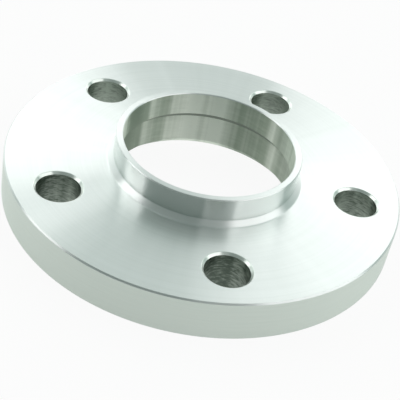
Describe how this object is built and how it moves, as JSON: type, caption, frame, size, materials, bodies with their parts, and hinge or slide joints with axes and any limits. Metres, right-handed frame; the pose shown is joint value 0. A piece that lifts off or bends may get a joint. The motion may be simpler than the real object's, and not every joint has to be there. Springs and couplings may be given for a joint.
{
  "type": "wheel spacer",
  "caption": "Hub-centric aluminium wheel spacer: flat disc with a stepped hub bore, a raised centring lip and a circle of countersunk stud holes.",
  "frame": {"origin": "centre of the flat back face that sits on the hub", "axes": "+Z along the bore axis, towards the wheel and the centring lip; +X through one stud hole"},
  "size_m": [0.139, 0.139, 0.025],
  "materials": {
    "turned_aluminium": "turned, satin"
  },
  "bodies": {
    "root": {"wheel_spacer": "turned_aluminium"}
  },
  "joints": []
}
